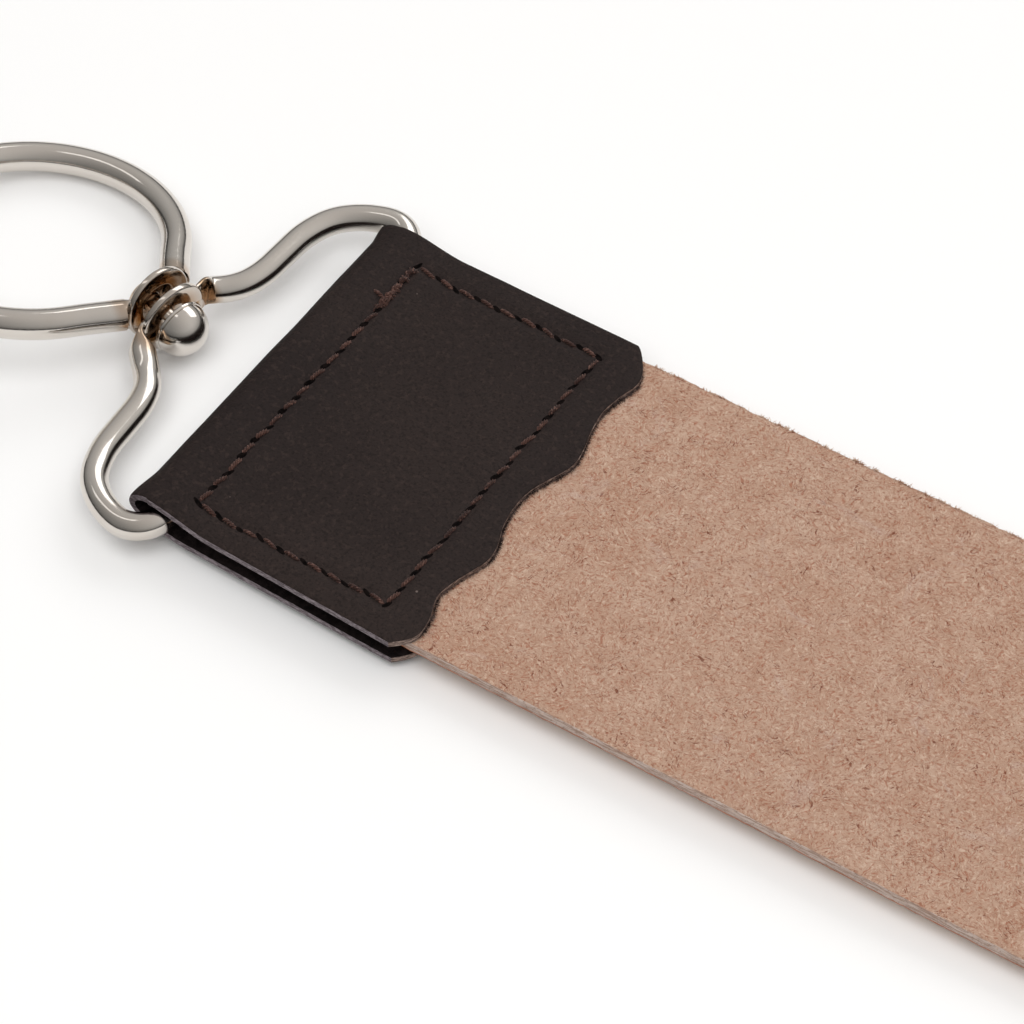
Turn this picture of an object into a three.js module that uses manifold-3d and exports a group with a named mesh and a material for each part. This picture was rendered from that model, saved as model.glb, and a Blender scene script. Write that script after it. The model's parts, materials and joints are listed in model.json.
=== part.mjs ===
// Hanging leather strop: a flat leather band, a folded leather tab that holds a wire bail,
// a ball-headed swivel rivet, a hanging ring, and a sewn leather grip at the other end.
// Units are millimetres. +X runs from the ring to the grip, +Y across the band, +Z up.
// While it is being built, x = 0 is the crest of the tab's fold and z = 0 is the surface
// that the strop lies on. The finished group is moved so that the origin is at the bottom
// centre of the whole object.

import * as THREE from 'three';
import { mergeVertices } from 'three/addons/utils/BufferGeometryUtils.js';
import Module from 'manifold-3d';

const wasm = await Module();
wasm.setup();

// ---------------------------------------------------------------- driving dimensions

// Leather layers
const BAND_WIDTH = 60;
const BAND_THICKNESS = 2.0;
const COVER_THICKNESS = 1.1;
const LAYER_GAP = 0.15;
const COVER_HALF_WIDTH = 31;
const STACK_HEIGHT = BAND_THICKNESS + 2 * (COVER_THICKNESS + LAYER_GAP);

// Lengths along the strop, from the crest of the fold
const BAND_START = 8.3;
const BAND_SHORT = 1;
const TAB_LENGTH = 45;
const GRIP_START = 405;
const GRIP_END = 488;
const GRIP_CORNER_RADIUS = 9;
const RAMP_START = GRIP_START - 40;
const RAMP_END = GRIP_START - 2;
const RAMP_STEP = 6;

// The hardware props the tab up, and the band comes down to the table in a long curve
const FOLD_LIFT = 2.3;
const TAB_END_LIFT = 1.7;
const LIFT_SPAN = 310;
const LIFT_STEP = 17;

// Wavy cut edge of the covers: how far each point stands beyond the plain cover length,
// and its place across the strop
const WAVE = [
  [-2.4, -31],
  [0.9, -27.6],
  [-0.6, -21.5],
  [1.6, -12.6],
  [-0.5, -3],
  [2.2, 7.4],
  [0.6, 17],
  [1.9, 25.3],
  [-2.4, 31],
];
const WAVE_POINTS_PER_STRETCH = 4;
const WAVE_ROOM = 4;

// The fold: how far its straight walls run past the bar, and the flared mouth at each end
const FOLD_SLOT = 0.8;
const FOLD_STEPS = 10;
const FLAP_BREAK = 0.3;
const MOUTH_WIDE = 3.1;
const MOUTH_NARROW = 2.1;
const MOUTH_DEPTH = 3.4;
const MOUTH_OVERRUN = 0.1;

// Tools that cut or trim a solid run this far past it
const OVERRUN = 1;
const TRIM_LOW = -5;
const TRIM_HIGH = 20;
const DRILL_LENGTH = 12;

// Sewing
const SEAM_INSET = 8.75;
const SEAM_END_INSET = 5.5;
const SEAM_HALF_WIDTH = 26.6;
const THREAD_WIDTH = 0.8;
const THREAD_HEIGHT = 0.4;
const GROOVE_MARGIN = 0.15;
const GRIP_SEAM_INSET = 5;
const THREAD_SINK = 0.02;

// Wire hardware
const WIRE_RADIUS = 2;
const WIRE_SIDES = 12;
const WIRE_CLEARANCE = 0.3;
const BAR_X = 4.8;
const BAR_Z = FOLD_LIFT + 3.0;
const BUTT_GAP = 0.3;
const BAIL_CORNER = 4.4;
const BAIL_HALF_WIDTH = 33.4;
const BAIL_STEPS = 44;
const BAIL_BAR = [14, 24];
const BAIL_ARM = [
  [-3.8, 32.0],
  [-7.4, 29.0],
  [-9.3, 24.5],
  [-9.8, 19.0],
  [-10.1, 15.0],
  [-11.2, 11.6],
  [-13.3, 9.1],
  [-14.7, 7.5],
  [-15.0, 6.5],
];
const TONGUE_HEIGHT = 3.4;
const TONGUE_ROOT = [-15.5, 7.6];
const TONGUE_TIP = 4.9;

// Swivel: both flattened eyes and the rivet share one slightly skewed axis
const SWIVEL_YAW = 12;
const SWIVEL_TILT = 8;
const RIVET_BASE = [-14.3, -0.1, FOLD_LIFT + 3.3];
const EYE_THICKNESS = 1.0;
const BAIL_EYE_RADIUS = 5.7;
const BAIL_EYE_BACK = 1.4;
const BAIL_EYE_RISE = 0.7;
const RING_EYE_RADIUS = 5.6;
const RING_EYE_BACK = 4.3;
const RING_EYE_RISE = 1.25;
const RING_EYE_LEAN = 8;
const SHANK_RADIUS = 1.4;
const BALL_RADIUS = 4.05;
const BALL_CENTRE = 0.6;
const BALL_STEPS = 8;
const COLLAR_RADIUS = 4.3;
const COLLAR_HEIGHT = 0.45;
const TAIL_RADIUS = 3.0;
const TAIL_HEIGHT = 1.6;
const TAIL_CROWN = [0.6, 0.8];
const BURR_RADIUS = 4.1;
const BURR_THICKNESS = 0.8;
const BURR_CLEARANCE = 0.1;
const ROUND_SIDES = 28;

// Hanging ring
const RING_RADIUS = 21;
const RING_SETBACK = 2.4;
const RING_ROLL = 11;
const RING_DROOP = 2;
const RING_YAW = 2.5;
const RING_ARM_OUT = 8.6;
const RING_NECK = [1.5, 5.2];
const RING_STEPS = 54;

// ---------------------------------------------------------------- materials

function material(color, roughness, metalness) {
  return new THREE.MeshStandardMaterial({ color, roughness, metalness });
}

const naturalLeather = material(0xc0a18c, 0.95, 0);
const darkLeather = material(0x332b29, 0.6, 0);
const sewingThread = material(0x6b4234, 0.7, 0);
const nickel = material(0xc9c4bc, 0.15, 1);

// ---------------------------------------------------------------- solids

function solidFrom(geometry) {
  const plain = geometry.clone();
  plain.deleteAttribute('normal');
  plain.deleteAttribute('uv');
  const welded = mergeVertices(plain, 1e-5);
  return new wasm.Manifold(new wasm.Mesh({
    numProp: 3,
    vertProperties: Float32Array.from(welded.attributes.position.array),
    triVerts: Uint32Array.from(welded.index.array),
  }));
}

function geometryFrom(solid) {
  const mesh = solid.getMesh();
  const geometry = new THREE.BufferGeometry();
  geometry.setAttribute('position', new THREE.BufferAttribute(mesh.vertProperties, 3));
  geometry.setIndex(new THREE.BufferAttribute(mesh.triVerts, 1));
  return geometry;
}

function named(name, geometry, look) {
  const mesh = new THREE.Mesh(geometry, look);
  mesh.name = name;
  return mesh;
}

// How far the underside of the tab stands above the table at a distance x from the fold
function lift(x) {
  return FOLD_LIFT + (TAB_END_LIFT - FOLD_LIFT) * x / TAB_LENGTH;
}

// The covers of the tab and of the grip raise the band by one cover and its gap
function bandUnderside(x) {
  const layer = COVER_THICKNESS + LAYER_GAP;
  if (x <= TAB_LENGTH) {
    return lift(x) + layer;
  }
  if (x <= LIFT_SPAN) {
    const down = THREE.MathUtils.smoothstep(x, TAB_LENGTH, LIFT_SPAN);
    return (TAB_END_LIFT + layer) * (1 - down);
  }
  return layer * THREE.MathUtils.smoothstep(x, RAMP_START, RAMP_END);
}

function follow(geometry, heightAt) {
  const position = geometry.attributes.position;
  for (let i = 0; i < position.count; i += 1) {
    position.setZ(i, position.getZ(i) + heightAt(position.getX(i)));
  }
  return geometry;
}

// A side outline in x and z, run across the strop
function acrossStrop(outline, halfWidth) {
  const shape = new THREE.Shape(outline);
  const geometry = new THREE.ExtrudeGeometry(shape, { depth: 2 * halfWidth, bevelEnabled: false });
  geometry.rotateX(Math.PI / 2);
  geometry.translate(0, halfWidth, 0);
  return geometry;
}

// A plan outline in x and y, raised from low to high
function upright(shape, low, high) {
  const geometry = new THREE.ExtrudeGeometry(shape, { depth: high - low, bevelEnabled: false });
  geometry.translate(0, 0, low);
  return geometry;
}

function between(shape, one, other) {
  return upright(shape, Math.min(one, other), Math.max(one, other));
}

function stations(from, to, step) {
  const count = Math.max(1, Math.round((to - from) / step));
  return Array.from({ length: count + 1 }, (_, i) => from + (to - from) * i / count);
}

// ---------------------------------------------------------------- leather

function waveEdge(plainEnd, direction) {
  const knots = WAVE.map(([out, y]) => new THREE.Vector3(plainEnd + direction * out, y, 0));
  const curve = new THREE.CatmullRomCurve3(knots, false, 'centripetal');
  const count = (WAVE.length - 1) * WAVE_POINTS_PER_STRETCH;
  return curve.getPoints(count).map((p) => new THREE.Vector2(p.x, p.y));
}

// A plan outline from a near edge to an end with two rounded corners
function roundedEnd(nearEdge, end, half, r) {
  const shape = new THREE.Shape();
  shape.moveTo(nearEdge[0].x, nearEdge[0].y);
  shape.lineTo(end - r, -half);
  shape.absarc(end - r, -half + r, r, -Math.PI / 2, 0);
  shape.absarc(end - r, half - r, r, 0, Math.PI / 2);
  nearEdge.slice().reverse().forEach((p) => shape.lineTo(p.x, p.y));
  return shape;
}

function makeBand() {
  const xs = [
    ...stations(BAND_START, TAB_LENGTH, LIFT_STEP),
    ...stations(TAB_LENGTH, LIFT_SPAN, LIFT_STEP).slice(1),
    RAMP_START,
    ...stations(RAMP_START, RAMP_END, RAMP_STEP).slice(1),
    GRIP_END,
  ];
  const under = xs.map((x) => new THREE.Vector2(x, bandUnderside(x)));
  const over = under.map((p) => new THREE.Vector2(p.x, p.y + BAND_THICKNESS)).reverse();
  const half = BAND_WIDTH / 2;
  const strip = solidFrom(acrossStrop([...under, ...over], half + OVERRUN));
  const start = [-half, half].map((y) => new THREE.Vector2(BAND_START - OVERRUN, y));
  const plan = roundedEnd(start, GRIP_END - BAND_SHORT, half, GRIP_CORNER_RADIUS - BAND_SHORT);
  return geometryFrom(strip.intersect(solidFrom(upright(plan, TRIM_LOW, TRIM_HIGH))));
}

// Side outline of the folded tab: an open round fold about the bar, then two flaps
function tabOutline() {
  const inner = WIRE_RADIUS + WIRE_CLEARANCE;
  const outer = inner + COVER_THICKNESS;
  const centre = new THREE.Vector2(outer, BAR_Z);
  const flapStart = BAND_START - FLAP_BREAK;
  const far = TAB_LENGTH + WAVE_ROOM;
  const topOuter = (x) => lift(x) + STACK_HEIGHT;
  const topInner = (x) => topOuter(x) - COVER_THICKNESS;
  const arcPoints = (radius, from, to) => Array.from({ length: FOLD_STEPS + 1 }, (_, i) => {
    const angle = THREE.MathUtils.degToRad(from + (to - from) * i / FOLD_STEPS);
    return new THREE.Vector2(centre.x + radius * Math.cos(angle), centre.y + radius * Math.sin(angle));
  });
  const slotEnd = BAR_X + FOLD_SLOT;
  const xs = stations(flapStart, far, LIFT_STEP);
  return [
    ...xs.map((x) => new THREE.Vector2(x, lift(x))).reverse(),
    new THREE.Vector2(slotEnd, BAR_Z - outer),
    ...arcPoints(outer, -90, -270),
    new THREE.Vector2(slotEnd, BAR_Z + outer),
    ...xs.map((x) => new THREE.Vector2(x, topOuter(x))),
    ...xs.map((x) => new THREE.Vector2(x, topInner(x))).reverse(),
    new THREE.Vector2(slotEnd, BAR_Z + inner),
    ...arcPoints(inner, -270, -90),
    new THREE.Vector2(slotEnd, BAR_Z - inner),
    ...xs.map((x) => new THREE.Vector2(x, lift(x) + COVER_THICKNESS)),
  ];
}

// A rectangular run of sewing, seen from above, as a closed strip of a given width
function seamShape(x0, x1, halfWidth, width) {
  const half = width / 2;
  const rectangle = (grow) => [
    new THREE.Vector2(x0 - grow, -halfWidth - grow),
    new THREE.Vector2(x1 + grow, -halfWidth - grow),
    new THREE.Vector2(x1 + grow, halfWidth + grow),
    new THREE.Vector2(x0 - grow, halfWidth + grow),
  ];
  const shape = new THREE.Shape(rectangle(half));
  shape.holes.push(new THREE.Path(rectangle(-half).reverse()));
  return shape;
}

// The thread lies in a shallow groove, just below the leather's face
function seamPair(x0, x1, halfWidth, faceZ, side, heightAt) {
  const depth = THREAD_HEIGHT + GROOVE_MARGIN;
  const grooveFloor = faceZ - side * depth;
  const grooveMouth = faceZ + side;
  const threadFloor = grooveFloor + side * GROOVE_MARGIN;
  const grooveShape = seamShape(x0, x1, halfWidth, THREAD_WIDTH + 2 * GROOVE_MARGIN);
  const threadCrown = faceZ - side * THREAD_SINK;
  const groove = between(grooveShape, grooveFloor, grooveMouth);
  const thread = between(seamShape(x0, x1, halfWidth, THREAD_WIDTH), threadFloor, threadCrown);
  return { groove: follow(groove, heightAt), thread: follow(thread, heightAt) };
}

function makeTab() {
  const sheet = solidFrom(acrossStrop(tabOutline(), COVER_HALF_WIDTH + OVERRUN));
  const plan = new THREE.Shape([
    new THREE.Vector2(-OVERRUN, -COVER_HALF_WIDTH),
    ...waveEdge(TAB_LENGTH, 1),
    new THREE.Vector2(-OVERRUN, COVER_HALF_WIDTH),
  ]);
  const x1 = TAB_LENGTH - SEAM_END_INSET;
  const top = seamPair(SEAM_INSET, x1, SEAM_HALF_WIDTH, STACK_HEIGHT, 1, lift);
  const bottom = seamPair(SEAM_INSET, x1, SEAM_HALF_WIDTH, 0, -1, lift);
  let solid = sheet.intersect(solidFrom(upright(plan, TRIM_LOW, TRIM_HIGH)));
  solid = solid.subtract(solidFrom(top.groove)).subtract(solidFrom(bottom.groove));
  for (const side of [-1, 1]) {
    const mouth = new THREE.CylinderGeometry(MOUTH_WIDE, MOUTH_NARROW, MOUTH_DEPTH, ROUND_SIDES);
    if (side < 0) {
      mouth.rotateX(Math.PI);
    }
    mouth.translate(BAR_X, side * (COVER_HALF_WIDTH + MOUTH_OVERRUN - MOUTH_DEPTH / 2), BAR_Z);
    solid = solid.subtract(solidFrom(mouth));
  }
  return { tab: geometryFrom(solid), top: top.thread, bottom: bottom.thread };
}

function gripShape() {
  return roundedEnd(waveEdge(GRIP_START, -1), GRIP_END, COVER_HALF_WIDTH, GRIP_CORNER_RADIUS);
}

function makeGripSide(side) {
  const low = side > 0 ? STACK_HEIGHT - COVER_THICKNESS : 0;
  const face = side > 0 ? STACK_HEIGHT : 0;
  const flat = () => 0;
  const x0 = GRIP_START + SEAM_END_INSET;
  const x1 = GRIP_END - GRIP_SEAM_INSET;
  const seam = seamPair(x0, x1, SEAM_HALF_WIDTH, face, side, flat);
  const cover = solidFrom(upright(gripShape(), low, low + COVER_THICKNESS));
  return { cover: geometryFrom(cover.subtract(solidFrom(seam.groove))), thread: seam.thread };
}

// ---------------------------------------------------------------- wire hardware

function sweepWire(points, steps) {
  const section = new THREE.Shape();
  section.absarc(0, 0, WIRE_RADIUS, 0, 2 * Math.PI);
  const path = new THREE.CatmullRomCurve3(points, false, 'centripetal');
  return solidFrom(new THREE.ExtrudeGeometry(section, {
    steps,
    extrudePath: path,
    bevelEnabled: false,
    curveSegments: WIRE_SIDES / 2,
  }));
}

// Plan of one half of the bail, from the butt joint in the middle of the bar to the eye
function bailHalf(side) {
  const z = BAR_Z;
  const corner = [0, 30, 60, 90].map((degrees) => {
    const a = THREE.MathUtils.degToRad(degrees);
    return [
      BAR_X - BAIL_CORNER + BAIL_CORNER * Math.cos(a),
      BAIL_HALF_WIDTH - BAIL_CORNER + BAIL_CORNER * Math.sin(a),
    ];
  });
  const plan = [
    [BAR_X, BUTT_GAP / 2],
    ...BAIL_BAR.map((y) => [BAR_X, y]),
    ...corner,
    ...BAIL_ARM,
  ];
  return sweepWire(plan.map(([x, y]) => new THREE.Vector3(x, side * y, z)), BAIL_STEPS);
}

// Unit vector along the swivel's axis, pointing at the strop
const swivelAxis = new THREE.Vector3(1, 0, 0)
  .applyAxisAngle(new THREE.Vector3(0, 1, 0), THREE.MathUtils.degToRad(SWIVEL_TILT))
  .applyAxisAngle(new THREE.Vector3(0, 0, 1), -THREE.MathUtils.degToRad(SWIVEL_YAW));
const rivetBase = new THREE.Vector3(...RIVET_BASE);

function onAxis(distance) {
  return rivetBase.clone().addScaledVector(swivelAxis, distance);
}

// A round geometry made along +Y, laid along the swivel's axis with its middle at a point
function alongSwivel(geometry, centre) {
  const turn = new THREE.Quaternion().setFromUnitVectors(new THREE.Vector3(0, 1, 0), swivelAxis);
  geometry.applyQuaternion(turn);
  geometry.translate(centre.x, centre.y, centre.z);
  return geometry;
}

function disc(radius, thickness, centre) {
  const geometry = new THREE.CylinderGeometry(radius, radius, thickness, ROUND_SIDES);
  return solidFrom(alongSwivel(geometry, centre));
}

// A hammered eye: a round plate that leans back from the swivel's axis
function eyePlate(radius, centre, lean) {
  const plate = new THREE.CylinderGeometry(radius, radius, EYE_THICKNESS, ROUND_SIDES);
  plate.rotateX(THREE.MathUtils.degToRad(lean));
  return solidFrom(alongSwivel(plate, centre));
}

// An eye stands a little high on the rivet, because its hole is loose and the rivet sags in it
function eyeHole(rise, centre) {
  const clearRadius = SHANK_RADIUS + rise + WIRE_CLEARANCE;
  return disc(clearRadius, DRILL_LENGTH, centre);
}

function eyeCentre(back, rise) {
  const centre = onAxis(-back);
  centre.z += rise;
  return centre;
}

// The flattened neck that joins the end of the round wire to the rim of the eye
function bailTongue(side, centre) {
  const root = new THREE.Vector3(TONGUE_ROOT[0], side * TONGUE_ROOT[1], BAR_Z);
  const across = new THREE.Vector3(0, 0, 1).cross(swivelAxis).normalize();
  const tip = centre.clone().addScaledVector(across, side * TONGUE_TIP);
  const run = tip.clone().sub(root);
  const bar = new THREE.BoxGeometry(TONGUE_HEIGHT, EYE_THICKNESS, run.length());
  const frame = new THREE.Matrix4().lookAt(tip, root, new THREE.Vector3(1, 0, 0));
  bar.applyMatrix4(frame);
  const middle = root.clone().addScaledVector(run, 0.5);
  bar.translate(middle.x, middle.y, middle.z);
  return solidFrom(bar);
}

function makeBail() {
  const centre = eyeCentre(BAIL_EYE_BACK, BAIL_EYE_RISE);
  const eye = eyePlate(BAIL_EYE_RADIUS, centre, 0);
  const wire = [-1, 1].reduce(
    (whole, side) => whole.add(bailHalf(side)).add(bailTongue(side, centre)),
    eye,
  );
  return geometryFrom(wire.subtract(eyeHole(BAIL_EYE_RISE, centre)));
}

// The ring's own flat frame: x back from the eye and y across, then rolled, drooped and turned.
// A short neck at each end of the wire steps forward into the eye.
function makeRing() {
  const centre = eyeCentre(RING_EYE_BACK, RING_EYE_RISE);
  const start = Math.asin(RING_ARM_OUT / RING_RADIUS);
  const count = RING_STEPS / 3;
  const round = Array.from({ length: count + 1 }, (_, i) => {
    const angle = start + (2 * Math.PI - 2 * start) * i / count;
    const back = RING_SETBACK + RING_RADIUS * (1 - Math.cos(angle));
    return new THREE.Vector3(-back, RING_RADIUS * Math.sin(angle), 0);
  });
  const [neckBack, neckOut] = RING_NECK;
  const points = [
    new THREE.Vector3(-neckBack, neckOut, 0),
    ...round,
    new THREE.Vector3(-neckBack, -neckOut, 0),
  ];
  const turn = new THREE.Euler(
    -THREE.MathUtils.degToRad(RING_ROLL),
    -THREE.MathUtils.degToRad(RING_DROOP),
    -THREE.MathUtils.degToRad(RING_YAW),
    'ZYX',
  );
  points.forEach((p) => p.applyEuler(turn).add(centre));
  const eye = eyePlate(RING_EYE_RADIUS, centre, RING_EYE_LEAN);
  const wire = sweepWire(points, RING_STEPS).add(eye);
  return geometryFrom(wire.subtract(eyeHole(RING_EYE_RISE, centre)));
}

const leanRoom = BURR_RADIUS * Math.sin(THREE.MathUtils.degToRad(RING_EYE_LEAN));
const burrBack = RING_EYE_BACK + EYE_THICKNESS / 2 + leanRoom + WIRE_CLEARANCE;
const tailBack = burrBack + BURR_THICKNESS + WIRE_CLEARANCE;

// Ball head, shank and hammered tail, turned about the swivel's axis
function makeRivet() {
  const profile = [
    new THREE.Vector2(0, -tailBack - TAIL_HEIGHT),
    new THREE.Vector2(TAIL_RADIUS * TAIL_CROWN[0], -tailBack - TAIL_HEIGHT * TAIL_CROWN[1]),
    new THREE.Vector2(TAIL_RADIUS, -tailBack),
    new THREE.Vector2(SHANK_RADIUS, -tailBack),
    new THREE.Vector2(SHANK_RADIUS, 0),
    new THREE.Vector2(COLLAR_RADIUS, 0),
    new THREE.Vector2(COLLAR_RADIUS, COLLAR_HEIGHT / 2),
  ];
  const first = -Math.asin((BALL_CENTRE - COLLAR_HEIGHT) / BALL_RADIUS);
  for (let i = 0; i < BALL_STEPS; i += 1) {
    const angle = first + (Math.PI / 2 - first) * i / BALL_STEPS;
    const x = BALL_RADIUS * Math.cos(angle);
    profile.push(new THREE.Vector2(x, BALL_CENTRE + BALL_RADIUS * Math.sin(angle)));
  }
  profile.push(new THREE.Vector2(0, BALL_CENTRE + BALL_RADIUS));
  return alongSwivel(new THREE.LatheGeometry(profile, ROUND_SIDES), rivetBase);
}

function makeBurr() {
  const centre = onAxis(-burrBack - BURR_THICKNESS / 2);
  const washer = disc(BURR_RADIUS, BURR_THICKNESS, centre);
  return geometryFrom(washer.subtract(disc(SHANK_RADIUS + BURR_CLEARANCE, DRILL_LENGTH, centre)));
}

// ---------------------------------------------------------------- assembly

const tab = makeTab();
const gripFront = makeGripSide(1);
const gripBack = makeGripSide(-1);

const assembly = new THREE.Group();
assembly.add(
  named('strop_band', makeBand(), naturalLeather),
  named('hardware_tab', tab.tab, darkLeather),
  named('tab_thread_top', tab.top, sewingThread),
  named('tab_thread_bottom', tab.bottom, sewingThread),
  named('bail_loop', makeBail(), nickel),
  named('swivel_rivet', makeRivet(), nickel),
  named('rivet_burr', makeBurr(), nickel),
  named('hanging_ring', makeRing(), nickel),
  named('grip_front_cover', gripFront.cover, darkLeather),
  named('grip_back_cover', gripBack.cover, darkLeather),
  named('grip_thread_front', gripFront.thread, sewingThread),
  named('grip_thread_back', gripBack.thread, sewingThread),
);

const box = new THREE.Box3().setFromObject(assembly);
const middle = box.getCenter(new THREE.Vector3());
assembly.position.set(-middle.x, -middle.y, -box.min.z);

const strop = new THREE.Group();
strop.add(assembly);

export default strop;
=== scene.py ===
import functools
import json
import math
import random
import bmesh
import bpy
import numpy as np
from mathutils import Matrix, Vector


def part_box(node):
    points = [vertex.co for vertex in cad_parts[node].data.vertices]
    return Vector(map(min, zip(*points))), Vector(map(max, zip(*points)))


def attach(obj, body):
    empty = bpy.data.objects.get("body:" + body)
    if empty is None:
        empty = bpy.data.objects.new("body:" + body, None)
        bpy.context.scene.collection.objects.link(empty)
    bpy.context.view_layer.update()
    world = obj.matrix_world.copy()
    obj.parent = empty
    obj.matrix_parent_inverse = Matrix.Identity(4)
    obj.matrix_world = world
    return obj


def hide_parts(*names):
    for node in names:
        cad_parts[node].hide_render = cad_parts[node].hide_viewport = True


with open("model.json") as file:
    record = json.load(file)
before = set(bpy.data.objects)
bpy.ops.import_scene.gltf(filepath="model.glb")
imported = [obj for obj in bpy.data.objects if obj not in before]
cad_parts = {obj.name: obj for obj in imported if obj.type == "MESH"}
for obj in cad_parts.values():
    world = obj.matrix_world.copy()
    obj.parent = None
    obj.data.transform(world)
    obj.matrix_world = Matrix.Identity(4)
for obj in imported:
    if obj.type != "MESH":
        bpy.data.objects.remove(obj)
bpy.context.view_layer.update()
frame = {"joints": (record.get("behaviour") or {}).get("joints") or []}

# The looks of a hanging leather strop. Shapes are worked out in millimetres in the strop's own
# frame: x = 0 is the crest of the tab's fold, z = 0 the table. in_frame() turns them into metres
# in the shared frame.

MM = 0.001
FOLD_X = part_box("hardware_tab")[0].x

# -------- sizes, in mm
COVER = 1.1  # thickness of the dark leather
BAND = 2.0  # thickness of the natural leather
GAP = 0.15  # air between the two
LAYER = COVER + GAP
STACK = BAND + 2 * LAYER
BAND_START = 8.3  # inside the tab
BAND_END = 487.0  # inside the grip
BAND_NEAR = 29.6  # half-widths: the band lies a little off the middle
BAND_FAR = 30.5
BAND_INSET = 1.5  # how much narrower it is inside the tab
BAND_CORNER = 8.0
LIFT = 2.3  # height of the leather off the table at the fold
TAB_END_LIFT = 1.7  # and at the end of the tab
LIFT_SPAN = 310.0  # from here on the band lies flat

TAB_LENGTH = 45.0
TAB_HALF = 31.0
FOLD_RADIUS = 3.2
FOLD_SPREAD = 14.0  # where the fold's swelling ends
WAVE = [(-2.4, -31.6), (0.6, -28.2), (0.6, -25.2), (-0.7, -21.2), (-0.2, -18.0), (1.5, -12.6),
        (1.3, -10.0), (-0.1, -6.0), (-0.6, -1.8), (-0.2, 1.2), (2.1, 7.6), (1.9, 10.4),
        (0.9, 14.2), (0.4, 18.0), (0.8, 21.0), (1.7, 25.6), (-1.2, 30.4), (-2.6, 31.4)]

GRIP_START = 405.0
GRIP_END = 488.0
GRIP_CORNER = 9.0
GRIP_SEAM_INSET = 5.0

SEAM_INSET = 8.75  # from the fold
SEAM_END_INSET = 5.5  # from the wavy cut
SEAM_HALF = 26.6
PITCH = 3.35  # from needle hole to needle hole
PLIES = 3
PLY_RADIUS = 0.17
PLY_OFFSET = 0.18  # of each ply from the middle of the thread
TWIST_PITCH = 1.5

WIRE = 2.0  # radius of the bail's wire
RING_WIRE = 2.25  # radius of the ring's wire
FLAT_HALF = 2.45  # half-height of a wire's flattened end
EYE_THICKNESS = 1.0
BAIL_CORNER = 4.4
BAIL_HALF = 33.4
BAIL_ROLL = 1.1  # degrees
BAIL_EYE = 5.7
BAIL_EYE_BACK = 1.4  # behind the swivel, as is every BACK
BAIL_EYE_RISE = 0.7
RING = 21.0
RING_SETBACK = 2.4
RING_ROLL = 11.0  # degrees, as are the next two
RING_DROOP = 2.0
RING_YAW = 2.5
RING_ARM_OUT = 8.6  # where an arm leaves the circle
RING_EASE = 6.5  # degrees
RING_EYE = 5.6
RING_EYE_BACK = 4.3
RING_EYE_RISE = 1.25
RING_EYE_LEAN = 8.0  # degrees
SHANK = 1.4
LOOSE = 0.3  # clearance between the parts of the swivel
BALL = 4.05
BALL_CENTRE = 0.6
COLLAR = 4.3
COLLAR_HEIGHT = 0.45
TAIL = 3.0
TAIL_HEIGHT = 1.6
BURR = 4.1
BURR_THICKNESS = 0.8


def shop(point):
    """A point of the shared frame in the strop's own millimetres."""
    return (Vector(point) - Vector((FOLD_X, 0, 0))) / MM


joints = {j["name"]: j for j in frame["joints"]}
BAR = shop(joints["bail_hinge"]["pos_m"])
SWIVEL = shop(joints["rivet_turn"]["pos_m"])
AXIS = Vector(joints["rivet_turn"]["axis"]).normalized()


def in_frame(points):
    """Points in the strop's own millimetres, as metres of the shared frame."""
    return np.asarray(points, float) * MM + np.array([FOLD_X, 0.0, 0.0])


# -------- mesh helpers
NOISE_SIZE = 128  # after this many lumps the noise repeats
STEPS_BETWEEN_KNOTS = 30


def smoothstep(x, low, high):
    t = np.clip((np.asarray(x, float) - low) / (high - low), 0, 1)
    return t * t * (3 - 2 * t)


@functools.cache
def noise_table(seed):
    return np.random.default_rng(seed).uniform(-1, 1, (NOISE_SIZE, NOISE_SIZE))


def patches(u, v, seed):
    """Smooth noise from -1 to 1, with one lump to each unit of u and v."""
    table = noise_table(seed)
    iu, iv = np.floor(u).astype(int), np.floor(v).astype(int)
    fu, fv = smoothstep(u - iu, 0, 1), smoothstep(v - iv, 0, 1)
    left, right = iu % NOISE_SIZE, (iu + 1) % NOISE_SIZE
    low, high = iv % NOISE_SIZE, (iv + 1) % NOISE_SIZE
    near = table[left, low] * (1 - fu) + table[right, low] * fu
    far = table[left, high] * (1 - fu) + table[right, high] * fu
    return near * (1 - fv) + far * fv


def rough(u, v, seed):
    """Three sizes of smooth noise together."""
    return (patches(u, v, seed) + 0.5 * patches(2.1 * u, 2.1 * v, seed + 1)
            + 0.25 * patches(4.3 * u, 4.3 * v, seed + 2)) / 1.4


def add_object(name, data):
    made = bpy.data.objects.new(name, data)
    bpy.context.scene.collection.objects.link(made)
    return made


def shade_smooth(mesh, crease):
    mesh.polygons.foreach_set("use_smooth", np.ones(len(mesh.polygons), bool))
    mesh.set_sharp_from_angle(angle=math.radians(crease))


def make_piece(name, points, faces, materials, face_materials=None, crease=50.0, attributes=None):
    """An object with smooth shading. A crease is an angle in degrees; attributes are per point."""
    mesh = bpy.data.meshes.new(name)
    mesh.from_pydata(in_frame(points).tolist(), [], [list(map(int, f)) for f in faces])
    for material in materials:
        mesh.materials.append(material)
    if face_materials is not None:
        mesh.polygons.foreach_set("material_index", np.asarray(face_materials, np.int32))
    for key, values in (attributes or {}).items():
        layer = mesh.attributes.new(key, "FLOAT", "POINT")
        layer.data.foreach_set("value", np.asarray(values, np.float32))
    bm = bmesh.new()
    bm.from_mesh(mesh)
    bmesh.ops.recalc_face_normals(bm, faces=bm.faces)
    bm.to_mesh(mesh)
    bm.free()
    shade_smooth(mesh, crease)
    return add_object(name, mesh)


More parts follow.
